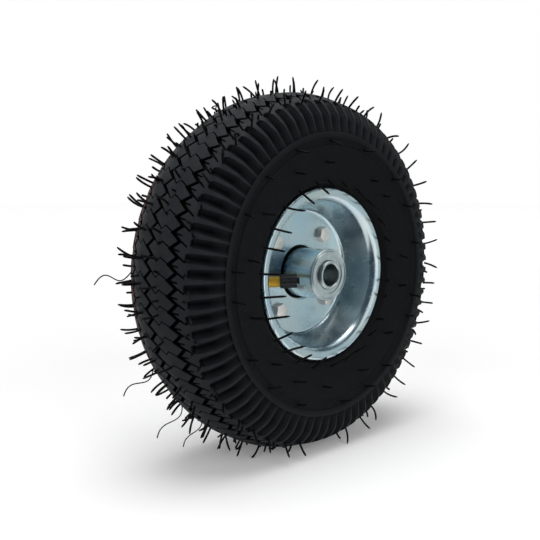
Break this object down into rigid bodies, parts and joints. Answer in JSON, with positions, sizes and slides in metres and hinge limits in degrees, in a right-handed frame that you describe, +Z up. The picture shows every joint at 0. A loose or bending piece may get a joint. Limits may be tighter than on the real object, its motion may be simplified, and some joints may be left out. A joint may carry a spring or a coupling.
{
  "type": "pneumatic wheel",
  "caption": "Pneumatic hand-truck wheel: a ribbed tyre with moulding hairs on a bolted two-piece pressed rim, with a ball-bearing hub and a bent valve.",
  "frame": {"origin": "wheel centre, on the axle axis at the middle of the tyre's width", "axes": "+Y along the axle, away from the bolt heads and the valve; +Z up as the wheel stands"},
  "size_m": [0.286, 0.1052, 0.273],
  "materials": {
    "tyre_rubber": "new moulded rubber",
    "tube_rubber": "matt",
    "zinc_sheet": "bright blue zinc plate",
    "bolt_steel": "pale zinc plate",
    "bearing_steel": "ground steel",
    "brass": "drawn brass",
    "cap_plastic": "moulded"
  },
  "bodies": {
    "axle_side": {"bearing_inner_front": "bearing_steel", "bearing_inner_rear": "bearing_steel", "bearing_spacer": "bearing_steel"},
    "wheel": {"tyre": "tyre_rubber", "vent_hairs": "tyre_rubber", "inner_tube": "tube_rubber", "rim_half_front": "zinc_sheet", "rim_half_rear": "zinc_sheet", "rim_bolts": "bolt_steel", "rim_washers": "bolt_steel", "rim_nuts": "bolt_steel", "hub_tube": "zinc_sheet", "hub_weld": "zinc_sheet", "bearing_outer_front": "bearing_steel", "bearing_outer_rear": "bearing_steel", "bearing_shield_front": "bearing_steel", "bearing_shield_rear": "bearing_steel", "valve_foot": "tube_rubber", "valve_stem": "brass", "valve_core": "brass"},
    "ball_sets": {"bearing_balls": "bearing_steel"},
    "valve_cap": {"valve_cap": "cap_plastic"},
    "valve_pin": {"valve_pin": "brass"}
  },
  "joints": [
    {"name": "wheel_spin", "type": "hinge", "parent": "axle_side", "child": "wheel", "pos_m": [0, 0, 0], "axis": [0, 1, 0], "continuous": true},
    {"name": "balls_spin", "type": "hinge", "parent": "axle_side", "child": "ball_sets", "pos_m": [0, 0, 0], "axis": [0, 1, 0], "continuous": true},
    {"name": "cap_off", "type": "slide", "parent": "wheel", "child": "valve_cap", "axis": [0.7049, -0.7071, 0.0555], "range_m": [0, 0.0065]},
    {"name": "pin_press", "type": "slide", "parent": "wheel", "child": "valve_pin", "axis": [-0.7049, 0.7071, -0.0555], "range_m": [0, 0.0012], "stiffness_N_per_m": 400, "springref_m": -0.001}
  ],
  "couplings": [
    {"joint": "balls_spin", "follows": "wheel_spin", "ratio": 0.59917}
  ]
}
